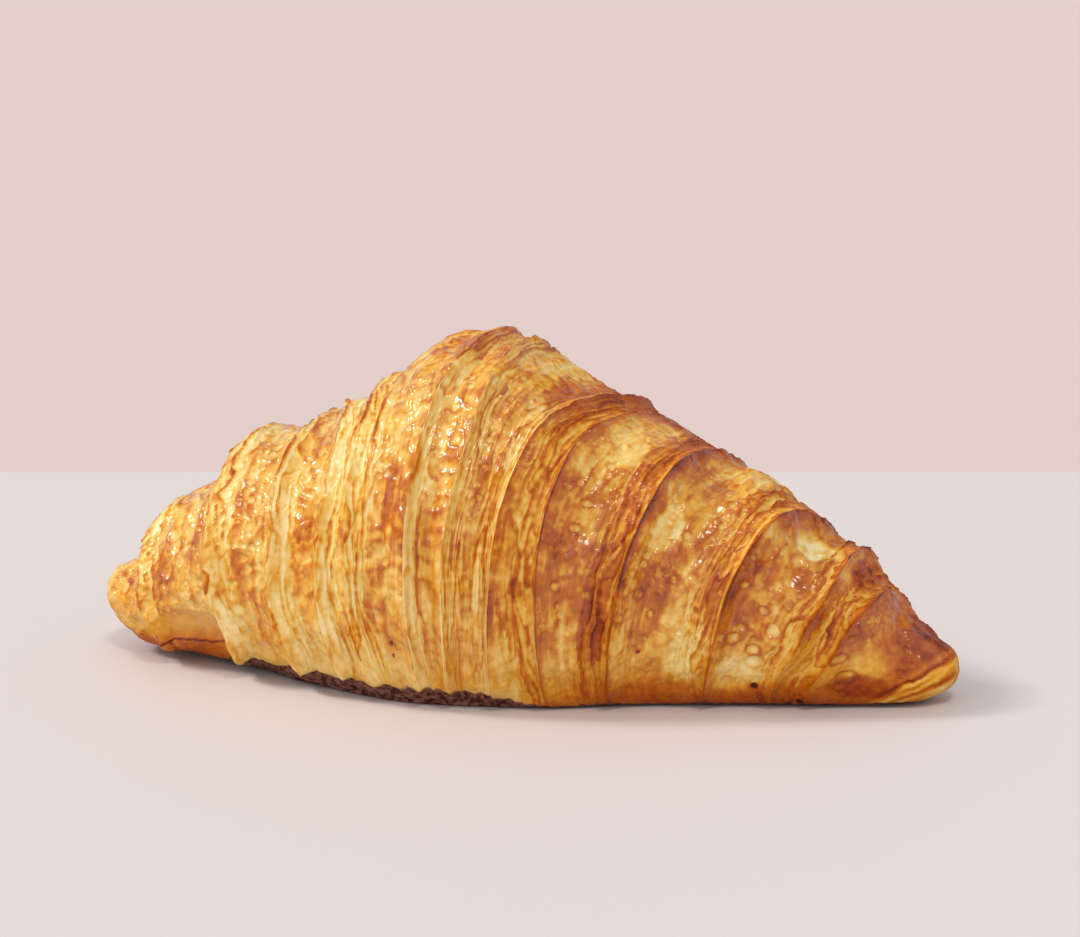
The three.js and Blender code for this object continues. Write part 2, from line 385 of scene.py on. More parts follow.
class Surface:
    """A grid of points over the croissant: `columns` along it by `rows` around it."""

    def __init__(self, shape):
        self.shape = shape
        self.noise = Noise(NOISE_SEED)
        self.lay_out_rows()
        self.lay_out_columns()
        self.points = self.body(self.along, self.angle)
        self.facing = self.outward(self.points)
        self.describe_place()

    def lay_out_rows(self):
        """Angles around the body, with fewer rows on the flat underside."""
        fine = np.linspace(0, 360, 3601)
        from_bottom = np.minimum(fine, 360 - fine)
        density = mix(UNDERSIDE_ROWS, 1, smooth(*UNDERSIDE_ANGLES, from_bottom))
        reached = np.append(0, np.cumsum((density[1:] + density[:-1]) / 2))
        wanted = np.arange(self.shape.rows) / self.shape.rows * reached[-1]
        self.angles = np.interp(wanted, reached, fine)

    def lay_out_columns(self):
        """Positions along the body that follow the edges and crowd beside them."""
        tips = [np.full_like(self.angles, tip) for tip in (LEFT_TIP, RIGHT_TIP)]
        rings = [ring_curve(edge["along"])(self.angles) for edge in EDGES]
        borders = [tips[0], *rings, tips[1]]
        grids = []
        for i, (left, right) in enumerate(zip(borders, borders[1:])):
            span = right - left
            share = span.mean() / (RIGHT_TIP - LEFT_TIP)
            count = round(share * self.shape.columns) + SPARE_COLUMNS
            t = np.linspace(0, 1, count + 1)[:-1]
            t = mix(t, (1 - np.cos(t * math.pi)) / 2, EDGE_CROWDING)
            t = t[:, None]
            from_left = t * span
            from_right = (1 - t) * span
            if i < MIDDLE_WRAP:
                to_lip, from_tuck = from_left, from_right
            elif i > MIDDLE_WRAP:
                to_lip, from_tuck = from_right, from_left
            else:
                to_lip = np.minimum(from_left, from_right)
                from_tuck = np.maximum(from_left, from_right)
            grids.append({
                "along": left + from_left,
                "wrap": np.full(from_left.shape, i),
                "across": t + 0 * span,
                "width": span + 0 * t,
                "to_lip": to_lip,
                "from_tuck": from_tuck,
            })
        for name in grids[0]:
            setattr(self, name, np.concatenate([grid[name] for grid in grids])[1:])
        self.angle = np.broadcast_to(self.angles, self.along.shape)

    def body(self, along, angle):
        """Points of the smooth body, before it is wound."""
        top, under, half_width = (
            monotone_curve([(row[0], row[i]) for row in SECTIONS])(along)
            for i in (1, 2, 3)
        )
        turn = np.radians(angle)
        sine, cosine = np.sin(turn), np.cos(turn)
        power = 2 / SECTION_POWER
        y = -half_width * np.sign(sine) * np.abs(sine) ** power
        z = (top + under) / 2 - (top - under) / 2 * np.sign(cosine) * np.abs(cosine) ** power
        return np.stack([along, y, self.settle(z)], -1)

    @staticmethod
    def settle(z):
        """Rounds heights into the flat underside."""
        blend = (z + SETTLE) ** 2 / (4 * SETTLE)
        return np.where(z <= -SETTLE, 0, np.where(z < SETTLE, blend, z))

    @staticmethod
    def outward(points):
        """Unit normals of the grid, facing out."""
        down_column = np.gradient(points, axis=0)
        around = np.roll(points, -1, axis=1) - np.roll(points, 1, axis=1)
        normal = np.cross(around, down_column)
        length = np.linalg.norm(normal, axis=-1, keepdims=True)
        return normal / np.maximum(length, 1e-9)

    def describe_place(self):
        """Where each point lies, for everything that varies over the crust."""
        turn = np.radians(self.angle)
        self.height = self.points[..., 2]
        from_tip = np.minimum(self.along - LEFT_TIP, RIGHT_TIP - self.along)
        self.open_air = smooth(0, FOOT_FADE, self.height)
        self.relief_share = self.open_air * smooth(0, TIP_FADE, from_tip)
        circle = [0 * turn, ROLL_RADIUS * np.cos(turn), ROLL_RADIUS * np.sin(turn)]
        self.around = np.stack(circle, -1)
        along_wraps = np.broadcast_to(self.along.mean(1, keepdims=True), self.along.shape)
        self.lengthwise = np.array([1.0, 0, 0]) * along_wraps[..., None]
        for name, values in zip(WRAP_FIELDS, np.array(WRAPS).T):
            setattr(self, name, values[self.wrap])
        middle = self.wrap == MIDDLE_WRAP
        right_edge = (self.wrap > MIDDLE_WRAP) | (middle & (self.across > 0.5))
        self.lip_side = np.where(right_edge, 1, -1)
        lip_edge = self.wrap + np.where(right_edge, 1, 0)
        tuck_edge = self.wrap + np.where(right_edge, 0, 1)
        for name in ("depth", "reach", "overhang", "crease"):
            values = np.array([NO_EDGE, *[edge[name] for edge in EDGES], NO_EDGE], float)
            setattr(self, "lip_" + name, values[lip_edge])
            setattr(self, "tuck_" + name, np.where(middle, NO_EDGE, values[tuck_edge]))

    def near(self, angle, spread):
        """1 at an angle around the roll, fading to 0 within about twice `spread` to each side."""
        return np.exp(-(((self.angle - angle) / spread) ** 2))

    def streaks(self, fine, long, salt):
        """Noise drawn out along the wraps: `fine` across the streaks and `long` along them.
        Each salt gives a pattern of its own."""
        place = self.lengthwise / fine + self.around / long + salt
        return self.noise.at(place, 1.0)

    def patchy(self, size, octaves=2, salt=0, drawn=1):
        """Noise in patches about `size` long, and longer around the roll where `drawn` is under 1."""
        return self.noise.rough(self.points * [1, drawn, drawn] + salt, size, octaves)

    def wind(self):
        """Height of the crowns and grooves of the wraps."""
        from_tuck = np.clip(self.from_tuck / self.width, 0, 1)
        over_top = self.near(*CALM_TOP)
        calm = np.where(self.wrap > MIDDLE_WRAP, 1 - TOP_CALM * over_top, 1)
        crown = self.crown * (np.sin(math.pi * from_tuck**CROWN_LEAN) ** CROWN_POWER - 0.5)
        jagged = self.streaks(50, 3.0, 61.0) * 0.25 + self.streaks(50, 1.2, 63.0) * 0.1
        jagged *= 1 - 0.7 * over_top
        to_lip = np.maximum(self.to_lip + jagged * smooth(0, 1, self.to_lip), 0)
        lip = LIP_RISE * self.lip_depth * (1 - smooth(0, LIP_SLOPE, to_lip))
        lip += self.lip_depth * (smooth(0, 1, to_lip / self.lip_reach / (1 + 2 * over_top)) - 1)
        tuck = (1 - LIP_RISE) * self.tuck_depth * (smooth(0, TUCK_REACH, self.from_tuck) - 1)
        return (crown + lip + tuck) * calm

    def shingle(self, pitch, wander, lasting, salt):
        """Overlapping layers that step down towards the lip: height from -0.5 to 0.5, how near
        each point is to its layer's own lip, its gap, and a tint that each layer keeps."""
        count = self.to_lip / pitch + wander
        number = np.floor(count)
        within = count - number
        row = np.stack([number * 3.7 + salt + self.wrap * 9.1, 0 * count, 0 * count], -1)
        place = row + self.around / lasting
        strength = smooth(-0.25, 0.45, self.noise.at(place, 1.0))
        tint = self.noise.at(place * 0.8 + 60, 1.0) * 0.5 + 0.5
        height = (0.5 - within) * smooth(0, 0.2, within) * mix(0.1, 1, strength)
        lip = smooth(0.5, 0.05, within) * strength
        gap = smooth(0.68, 1.0, within) * strength
        return height, lip, gap, tint

    def torn_sheet(self, fine, long, level, salt):
        """Thin sheets torn off along ragged edges: where one lies, its lip and the gap beside it."""
        field = self.streaks(fine, long, salt) + 0.2 * self.streaks(fine * 0.4, long * 0.3, salt + 7)
        sheet = smooth(level - 0.06, level + 0.06, field)
        lip = sheet * (1 - smooth(level + 0.05, level + 0.3, field))
        gap = (1 - sheet) * smooth(level - 0.25, level - 0.03, field)
        return sheet, lip, gap

    def layers(self):
        """Layers of laminated dough: shingled beside the lips, and torn sheets all over."""
        drift = self.streaks(8, 14, 3.1)
        flutter = self.streaks(2.4, 5, 8.7) * 0.4 + self.streaks(1.1, 2.5, 9.7) * 0.12
        frayed = self.to_lip / self.band + self.streaks(5, 10, 5.5) * 0.4
        self.in_band = 1 - smooth(0.6, 1.2, frayed)
        self.dry = dry = np.clip(self.in_band + 0.4 * (1 - self.wash), 0, 1)
        height, lip, gap, tint = self.shingle(self.pitch, drift * 0.9 + flutter, 11, 0.0)
        total = height * dry * 0.7
        self.layer_lip, self.layer_gap = lip * dry * 0.7, gap * dry * 0.7
        self.layer_tint = mix(0.5, tint, dry)
        wide = mix(0.3, 1, dry)
        height, lip, gap, tint = self.shingle(self.pitch * 3.3, drift * 0.5 + flutter * 0.6, 16, 40.0)
        total += height * wide * 1.5
        self.layer_lip = np.maximum(self.layer_lip, lip * wide)
        self.layer_gap = np.maximum(self.layer_gap, gap * wide)
        self.layer_tint = mix(self.layer_tint, tint, 0.4)
        for fine, long, level, salt, rise in ((3.6, 18, -0.1, 101.0, 0.6), (1.8, 9, 0.1, 131.0, 0.5)):
            sheet, lip, gap = self.torn_sheet(fine * self.pitch[..., None], long, level, salt)
            total += sheet * wide * rise
            self.layer_lip = np.maximum(self.layer_lip, lip * wide * rise)
            self.layer_gap = np.maximum(self.layer_gap, gap * wide * rise)
        fuzz = self.streaks(0.7, 2.6, 171.0) * 0.22 + self.patchy(1.1, 1, salt=7) * 0.2
        self.fuzz = fuzz * dry
        return (total + self.fuzz) * self.shape.layer_height / MM

    def domes(self, salt, size, width, share):
        """Scattered round domes, from 0 to 1, and their rims, on a share of the places."""
        gap, kind = self.noise.cells(self.points + salt, size)
        chosen = kind < share
        gap = gap * (1 + 0.3 * self.patchy(size * 0.6, 1, salt=salt))
        dome = np.sqrt(np.clip(1 - (gap / width) ** 2, 0, 1)) * chosen
        rim = np.exp(-(((gap / width - 1) / 0.2) ** 2)) * chosen
        return dome, rim

    def blisters(self):
        """Bubbles raised under the egg wash, and the smooth, uneven glaze around them."""
        open_face = smooth(0.1, 0.6, (1.1 - self.dry) * self.wash)
        patches = smooth(-0.35, 0.2, self.patchy(6)) * open_face
        small, small_rim = self.domes(0, 1.2, 0.5, 0.5)
        large, large_rim = self.domes(50, 2.4, 0.36, 0.3)
        self.blister = np.maximum(small * 0.35, large) * patches
        self.rim = np.maximum(small_rim * 0.5, large_rim) * patches
        pillows = np.abs(self.patchy(3.2, 1, salt=17)) * 0.8
        pillows += np.abs(self.patchy(1.7, 1, salt=29, drawn=0.8)) * 0.18
        glaze = pillows * self.wrinkled * open_face + self.patchy(4.5, 1, salt=47) * 0.25
        return self.blister * self.shape.blister_height / MM + glaze

    def lumps(self):
        """Uneven rise of the dough: soft lumps, and pleats drawn out around the roll."""
        soft = self.patchy(13, 3, salt=11) * 0.8
        pleats = self.streaks(2.2, 12, 21.0) * 0.24 + self.streaks(1.0, 7, 33.0) * 0.09
        return soft + pleats

    def lies(self, along, angle):
        """How far each point lies from a spot: across its wrap, and along it."""
        j = np.abs(self.angles - angle).argmin()
        i = np.abs(self.along[:, j] - along).argmin()
        radius = np.abs(self.points[i, :, 1]).max()
        turned = (self.angle - angle + 180) % 360 - 180
        return self.lengthwise[..., 0] - self.lengthwise[i, j, 0], np.radians(turned) * radius

    def single_marks(self):
        """Patches, bubbles and crumbs that stand alone: their relief, and how brown they are."""
        relief = np.zeros_like(self.along)
        self.marks = np.zeros_like(self.along)
        fray = self.patchy(3, salt=83) * 0.5
        for along, angle, wide, tall, tone, rise in PATCHES:
            across, up = self.lies(along, angle)
            inside = 1 - smooth(0.65, 1.15, np.hypot(across / wide, up / tall) + fray)
            relief += inside * rise
            self.marks += inside * tone
        for along, angle, radius in BUBBLES:
            reach = np.hypot(*self.lies(along, angle)) / radius + fray * 0.4
            relief += np.sqrt(np.clip(1 - reach**2, 0, 1)) * radius * 0.35
            self.marks += np.exp(-(((reach - 1) / 0.25) ** 2)) * 0.2 - smooth(1, 0, reach) * 0.1
        for along, angle, radius in CRUMBS:
            reach = np.hypot(*self.lies(along, angle)) / radius + fray
            inside = 1 - smooth(0.7, 1.1, reach)
            relief += inside * radius * 0.6
            self.marks += inside * 0.7
        return relief

    def flap(self):
        """The smooth flap's height, from 0 to 1. It also paints shade along the flap's lower rim."""
        across, up = self.lies(*FLAP_AT)
        across = across - up * FLAP_LEAN
        half_width, half_height = FLAP_FLAT
        beside = np.maximum(np.abs(across) - half_width, 0)
        above = np.maximum(np.abs(up) - half_height, 0)
        outside = np.hypot(beside, above) + self.patchy(2.5, 1) * 0.3
        lies = np.sqrt(1 - smooth(0.5, FLAP_EDGE + 0.2, outside))
        # Painted shade along the lower side of the flap's rim.
        rim = np.exp(-(((outside - FLAP_EDGE) / 0.45) ** 2)) * smooth(0.5, -1.5, up)
        self.marks += rim * 0.5
        self.flat = smooth(0.1, 0.6, lies)
        return lies

    def raise_crust(self):
        """Adds every kind of relief, then lets each lip hang over the groove beside it."""
        fine = self.layers() + self.blisters()
        relief = self.wind() + self.lumps() + self.single_marks()
        flap = self.flap()
        relief += mix(fine, flap * FLAP_HEIGHT, self.flat)
        cut = np.clip(-self.over_cut(), 0, 5) * CUT_DEPTH
        cut = cut * smooth(*CUT_FADE, self.along) * self.open_air
        push = relief * self.relief_share - cut
        raised = self.points + self.facing * push[..., None]
        at_lip = smooth(0, 0.6, self.to_lip) * (1 - smooth(0.9, 2.8, self.to_lip))
        raised[..., 0] += self.lip_side * at_lip * self.lip_overhang * self.relief_share
        raised[..., 1] -= np.sign(raised[..., 1]) * self.undercut()
        raised[..., 2] = np.maximum(raised[..., 2], 0)
        self.relief = relief
        return raised

    def proud(self, reach=5):
        """How far each point stands above its surroundings, in millimetres."""
        blurred = self.relief
        for axis in (0, 1):
            total = sum(np.roll(blurred, i, axis) for i in range(-reach, reach + 1))
            blurred = total / (2 * reach + 1)
        return self.relief - blurred

    def browned(self):
        """How much of the oven's heat each side took: most on the upper front and upper back."""
        front = self.near(*FRONT_HEAT)
        top = 0.45 * self.near(*TOP_HEAT)
        back = 0.9 * self.near(*BACK_HEAT)
        return np.maximum(np.maximum(front, back), top)

    def bake(self):
        """How brown each point is, from 0 for pale dough to 1 for burnt, with painted shade and
        painted highlights laid into the same tone.
        """
        wide = self.patchy(9, salt=5, drawn=0.7)
        spot = smooth(-0.2, 0.2, self.patchy(2.2, salt=65, drawn=0.8)) - 0.5
        topside = self.near(*BROWN_TOP) * (self.wrap >= FIRST_BROWN_TOP)
        strip = self.strip + (self.layer_tint - 0.5) * 0.4 + wide * 0.14 + topside * 0.1
        tone = mix(self.bake_faces(wide, spot), strip, self.dry * 0.9)
        tone += self.streaks(0.7, 8, 44.0) * 0.05 + self.streaks(1.6, 12, 46.0) * 0.07
        tone -= self.fuzz * 0.35
        # Painted shade in the gaps between the layers, and the layers' paler lips.
        tone += self.layer_gap * 0.32 - self.layer_lip * 0.15
        # The lips are paler: partly their own dough, partly a painted highlight along them.
        tone -= self.pale * np.exp(-self.to_lip / 0.7) * (1 - topside)
        tone += self.rim * 0.1 - self.blister * 0.05
        # Painted shade in the hollows, and a painted highlight on raised points.
        tone -= np.clip(self.proud() * 0.6, -0.28, 0.12)
        tone = self.bake_belly(self.bake_grooves(tone), wide)
        tone = np.minimum(tone, 0.6 + (tone - 0.6) * 0.6)
        tone = mix(tone, 0.45 + wide * 0.15, self.flat * 0.8 * (self.marks < 0.1))
        return np.clip(self.bake_right_end(self.bake_left_end(tone, wide, spot)), 0, 1)

    def bake_faces(self, wide, spot):
        """The open faces of the wraps, browner where the oven's heat and the egg wash were."""
        patch = smooth(-0.25, 0.25, self.patchy(5, 3, salt=55, drawn=0.65)) - 0.5
        face = mix(0.38, self.face, self.browned()) + wide * 0.2
        return face + (patch + spot * 0.8) * mix(0.08, 0.17, self.wash * self.browned())

    def bake_grooves(self, tone):
        """Painted shade in the grooves and along the lips' edges over them, broken here and there."""
        broken = smooth(-0.5, 0.3, self.streaks(50, 9, 77.0))
        tone = tone + np.exp(-self.to_lip / 0.25) * self.lip_crease * 0.5 * broken
        top = self.near(*BROAD_TOP) * (self.wrap > MIDDLE_WRAP)
        strip = np.exp(-self.from_tuck / (0.5 + 2 * top))
        return tone + strip * self.tuck_crease * mix(broken, 0.7, top)

    def bake_belly(self, tone, wide):
        """The paler sides low down, with the single marks, and painted shade along the bottom of the
        right side, next to the table.
        """
        belly = 1 - smooth(3, 18, self.height)
        low = mix(0.28, 0.34, smooth(-30, 0, self.along)) + wide * 0.24
        low = low + (self.layer_tint - 0.5) * 0.2
        # Painted shade in the gaps between layers, and the layers' paler lips.
        low += self.streaks(1.4, 7, 49.0) * 0.07 + (self.layer_gap - self.layer_lip) * 0.12
        tone = mix(tone, low, belly * 0.7) + self.marks
        # Painted shade along the bottom of the right side, where it meets the table.
        return tone + 0.44 * (1 - smooth(0, 9, self.height)) * smooth(0, 35, self.along)

    def bake_left_end(self, tone, wide, spot):
        """The brown underside of the left end, and its blunt tip."""
        turned = np.minimum(self.angle, 360 - self.angle)
        tone = tone + 0.42 * (1 - smooth(34, 62, turned)) * (1 - smooth(*SOLE_START, self.along))
        blunt = 1 - smooth(1, 6, self.along - self.along.min())
        return mix(tone, 0.4 + wide * 0.3 + spot * 0.15, blunt)

    def over_cut(self):
        """Height above the line where the right tip was cut off."""
        return self.height - (self.along - CUT_ALONG) * CUT_SLOPE + self.patchy(2) * 0.4

    def cut_end(self):
        """How much each point lies on the cut end."""
        return smooth(*CUT_FADE, self.along) * (1 - smooth(-0.3, 0.3, self.over_cut()))

    def bake_right_end(self, tone):
        """The right tip: scorched on top, with a brown rim over its pale cut end."""
        over_cut = self.over_cut()
        scorched = smooth(66, 79, self.along) * smooth(0, 2.5, over_cut)
        tone = mix(tone, 0.84 + self.patchy(3, salt=3) * 0.3, scorched * 0.85)
        lines = self.noise.at(np.stack([over_cut * 1.1, self.along / 7, self.angle / 60], -1), 1)
        tone = mix(tone, 0.48 + lines * 0.45, self.cut_end() * 0.85)
        rim = np.exp(-(((over_cut - 0.3) / 0.5) ** 2)) * smooth(68, 73, self.along)
        return tone + 0.3 * rim

    def along_sole(self):
        """Where the crust stands clear of the table on a dark, rough sole."""
        return smooth(*SOLE_START, self.along) * (1 - smooth(*SOLE_END, self.along))

    def undercut(self):
        """How far the foot draws in under the crust."""
        bite = smooth(0.05, 1, self.height) * (1 - smooth(2.4, 4.6, self.height))
        return bite * self.along_sole() * (1.0 + self.patchy(2, salt=9) * 0.5)

    def foot(self):
        """How much each point shows the dark baked sole."""
        edge = mix(0.8, 3.6, self.along_sole())
        edge += self.patchy(5, salt=23) * 1.1 + self.patchy(1.6) * 0.6
        edge = np.maximum(edge, 0.3)
        return 1 - smooth(edge * 0.7, edge * 1.3, self.height)

    def gloss(self):
        """How much egg wash shows at each point. The middle lips kept theirs."""
        patches = smooth(-0.6, 0.0, self.patchy(8, salt=31))
        middle_lips = (self.wrap == MIDDLE_WRAP - 1) | (self.wrap == MIDDLE_WRAP)
        dull = np.where(middle_lips, 0.1, 0.75)
        wet = self.wash * (1 - self.in_band * dull) * patches * smooth(3, 12, self.height)
        wet *= 1 - 0.9 * self.near(*DULL_TOP) * (self.wrap >= FIRST_BROWN_TOP)
        return np.clip(0.15 + 0.85 * wet - self.cut_end(), 0, 1)


# ---- Meshes ----


def skin_faces(columns, rows):
    """The corners of a closed skin's faces and how many each has: quads, then a fan at each tip."""
    i, j = np.meshgrid(np.arange(columns - 1), np.arange(rows), indexing="ij")
    after = (j + 1) % rows
    quads = [i * rows + j, (i + 1) * rows + j, (i + 1) * rows + after, i * rows + after]
    quads = np.stack(quads, -1) + 1
    j = np.arange(rows)
    after = (j + 1) % rows
    last_ring = 1 + (columns - 1) * rows
    right_tip = last_ring + rows
    left_fan = np.stack([0 * j, 1 + j, 1 + after], -1)
    right_fan = np.stack([last_ring + j, 0 * j + right_tip, last_ring + after], -1)
    corners = np.concatenate([quads.ravel(), left_fan.ravel(), right_fan.ravel()])
    sizes = np.concatenate([np.full((columns - 1) * rows, 4), np.full(2 * rows, 3)])
    return corners, sizes


def skin_uv(columns, rows):
    """The same faces laid out flat on a square, just inside its border."""
    across, up = np.meshgrid(np.arange(columns - 1), np.arange(rows), indexing="ij")
    square = np.stack([across, up, across + 1, up, across + 1, up + 1, across, up + 1], -1)
    j = np.arange(rows)
    left = np.stack([0 * j, j, 0 * j, j, 0 * j, j + 1], -1)
    right = left + [columns - 1, 0] * 3
    flat = np.concatenate([square.ravel(), left.ravel(), right.ravel()]).reshape(-1, 2)
    return flat / [columns - 1, rows] * 0.998 + 0.001


def grid_mesh(name, ends, rings):
    """A closed skin over a grid of rings, with one point at each tip, in metres."""
    columns, rows, _ = rings.shape
    points = np.concatenate([ends[:1], rings.reshape(-1, 3), ends[1:]]) * MM
    corners, sizes = skin_faces(columns, rows)
    mesh = bpy.data.meshes.new(name)
    mesh.vertices.add(len(points))
    mesh.vertices.foreach_set("co", points.ravel())
    mesh.loops.add(len(corners))
    mesh.loops.foreach_set("vertex_index", corners)
    mesh.polygons.add(len(sizes))
    mesh.polygons.foreach_set("loop_start", np.append(0, np.cumsum(sizes)[:-1]))
    mesh.polygons.foreach_set("loop_total", sizes)
    mesh.polygons.foreach_set("use_smooth", np.ones(len(sizes), bool))
    uv = skin_uv(columns, rows)
    mesh.uv_layers.new(name="OFBake").data.foreach_set("uv", uv.ravel())
    mesh.update()
    mesh.validate()
    return mesh


def store(mesh, name, grid):
    """Keeps one number for each point of a grid mesh. The two tips take their neighbours' mean."""
    values = np.concatenate([[grid[0].mean()], grid.ravel(), [grid[-1].mean()]])
    layer = mesh.attributes.new(name, "FLOAT", "POINT")
    layer.data.foreach_set("value", values.astype(np.float32))


def show(mesh, name, material):
    """Adds a mesh to the scene as a piece of the croissant."""
    piece = bpy.data.objects.new(name, mesh)
    mesh.materials.append(material)
    bpy.context.scene.collection.objects.link(piece)
    return piece


# ---- Shader building ----


class Socket:
    """An output socket that takes part in sums, products and mixes."""

    def __init__(self, shader, link):
        self.shader, self.link = shader, link

    def maths(self, operation, other, swapped=False):
        pair = (other, self) if swapped else (self, other)
        return self.shader.node("ShaderNodeMath", {"operation": operation}, {0: pair[0], 1: pair[1]})

    def __add__(self, other):
        return self.maths("ADD", other)

    __radd__ = __add__

    def __sub__(self, other):
        return self.maths("SUBTRACT", other)

    def __rsub__(self, other):
        return self.maths("SUBTRACT", other, swapped=True)

    def __mul__(self, other):
        return self.maths("MULTIPLY", other)

    __rmul__ = __mul__


class Shader:
    """A material whose nodes are made by one method."""

    def __init__(self, name):
        self.material = bpy.data.materials.new(name)
        self.material.use_nodes = True
        self.tree = self.material.node_tree
        self.tree.nodes.clear()

    def node(self, kind, settings=None, inputs=None, output=0):
        made = self.tree.nodes.new(kind)
        for key, value in (settings or {}).items():
            if key == "stops":
                self.set_stops(made.color_ramp, value)
            else:
                setattr(made, key, value)
        for key, value in (inputs or {}).items():
            if isinstance(value, Socket):
                self.tree.links.new(value.link, made.inputs[key])
            else:
                made.inputs[key].default_value = value
        return Socket(self, made.outputs[output]) if made.outputs else None

    @staticmethod
    def set_stops(ramp, stops):
        while len(ramp.elements) < len(stops):
            ramp.elements.new(1)
        for element, (place, colour) in zip(ramp.elements, stops):
            element.position = place
            element.color = (*colour, 1)

    def attribute(self, name):
        settings = {"attribute_name": name}
        return self.node("ShaderNodeAttribute", settings, output="Fac")

    def noise(self, place, scale):
        values = {"Vector": place, "Scale": scale, "Detail": 3.0}
        return self.node("ShaderNodeTexNoise", {}, values)

    def limit(self, value, low, high, to_low=0.0, to_high=1.0):
        """The value carried from one range to another, and held inside it."""
        values = {0: value, 1: low, 2: high, 3: to_low, 4: to_high}
        return self.node("ShaderNodeMapRange", {"clamp": True}, values)

    def blend(self, share, first, second):
        """A mix of two colours."""
        values = {0: share, 6: first, 7: second}
        return self.node("ShaderNodeMix", {"data_type": "RGBA"}, values, output=2)

    def finish(self, surface):
        self.node("ShaderNodeOutputMaterial", {}, {"Surface": surface})
        return self.material


def linear(red, green, blue):
    """A screen colour from 0 to 255 as Blender's linear colour."""
    return tuple(
        part / 12.92 if part <= 0.04045 else ((part + 0.055) / 1.055) ** 2.4
        for part in (red / 255, green / 255, blue / 255)
    )


def crust_material(colours):
    """Baked dough: from cream through gold and amber to dark brown, with egg wash over it."""
    shader = Shader("baked_crust")
    place = shader.node("ShaderNodeTexCoord", output="Object")
    # The tone holds the baked colour, with painted shade and painted highlights in it.
    tone = shader.attribute("bake")
    foot = shader.attribute("foot")
    gloss = shader.attribute("gloss")
    speckle = shader.noise(place, scale=900)
    mottle = shader.noise(place, scale=260)
    tone = tone + (speckle - 0.5) * 0.2 + (mottle - 0.5) * 0.16
    stops = [
        (0.0, tuple(colours.cream)),
        (0.22, tuple(colours.straw)),
        (0.42, tuple(colours.gold)),
        (0.6, tuple(colours.amber)),
        (0.78, tuple(colours.chestnut)),
        (1.0, tuple(colours.burnt)),
    ]
    colour = shader.node("ShaderNodeValToRGB", {"stops": stops}, {0: tone})
    sole = shader.limit(foot + (mottle - 0.5) * 0.5, 0.35, 0.65)
    tray = shader.blend(shader.limit(speckle, 0.4, 0.6), (*colours.burnt, 1), (*colours.sole, 1))
    colour = shader.blend(sole, colour, tray)
    roughness = shader.limit(gloss + (speckle - 0.5) * 0.3, 0.0, 1.0, 0.6, 0.25)
    height = speckle * (1.15 - gloss) + mottle * 0.4
    relief = {"Strength": 0.5, "Distance": GRAIN_HEIGHT, "Height": height}
    grain = shader.node("ShaderNodeBump", {}, relief, output="Normal")
    skin = shader.node(
        "ShaderNodeBsdfPrincipled",
        {},
        {
            "Base Color": colour,
            "Roughness": roughness,
            "Specular IOR Level": 0.15,
            "Coat Weight": shader.limit(gloss, 0.1, 0.7, 0.02, 1.0),
            "Coat Roughness": 0.15,
            "Subsurface Weight": 0.12,
            "Subsurface Scale": 0.002,
            "Normal": grain,
        },
    )
    return shader.finish(skin)


def plain_material(name, colour, roughness):
    shader = Shader(name)
    values = {"Base Color": (*colour, 1), "Roughness": roughness, "Specular IOR Level": 0.2}
    return shader.finish(shader.node("ShaderNodeBsdfPrincipled", {}, values))


# ---- Settings ----


class CroissantShape(bpy.types.PropertyGroup):
    columns: IntProperty(
        name="Columns", description="Grid columns along the croissant", default=860, min=100
    )
    rows: IntProperty(
        name="Rows", description="Grid rows around the croissant", default=760, min=60
    )
    layer_height: FloatProperty(
        name="Layer height",
        description="How far one layer of dough stands over the next",
        default=0.0005,
        unit="LENGTH",
    )
    blister_height: FloatProperty(
        name="Blister height",
        description="Height of the largest bubbles under the egg wash",
        default=0.0006,
        unit="LENGTH",
    )


def colour_property(name, description, red, green, blue):
    return FloatVectorProperty(
        name=name,
        description=description,
        subtype="COLOR",
        size=3,
        min=0,
        max=1,
        default=linear(red, green, blue),
    )


class CroissantColours(bpy.types.PropertyGroup):
    cream: colour_property("Cream", "Palest dry layers", 246, 225, 165)
    straw: colour_property("Straw", "Pale layered dough", 236, 200, 114)
    gold: colour_property("Gold", "Lightly baked crust", 224, 161, 48)
    amber: colour_property("Amber", "Well baked crust", 196, 107, 14)
    chestnut: colour_property("Chestnut", "Darkest egg-washed crust", 160, 64, 4)
    burnt: colour_property("Burnt", "Scorched edges", 68, 18, 6)
    sole: colour_property("Sole", "Underside baked on the tray", 138, 92, 76)


class CroissantStage(bpy.types.PropertyGroup):
    azimuth: FloatProperty(
        name="Azimuth",
        description="Turn of the camera from straight in front",
        default=math.radians(15),
        subtype="ANGLE",
    )
    elevation: FloatProperty(
        name="Elevation",
        description="Height of the camera above the horizon",
        default=math.radians(11.5),
        subtype="ANGLE",
    )
    distance: FloatProperty(
        name="Distance",
        description="From the camera to the croissant",
        default=0.6,
        unit="LENGTH",
    )
    view_width: FloatProperty(
        name="View width",
        description="Width of the view at the croissant",
        default=0.2026,
        unit="LENGTH",
    )
    table_depth: FloatProperty(
        name="Table depth",
        description="From the croissant to the table's back edge",
        default=0.189,
        unit="LENGTH",
    )
    table: colour_property("Table", "Table top", 215, 205, 203)
    backdrop: colour_property("Backdrop", "Wall behind the table", 211, 192, 187)


# ---- Operators ----


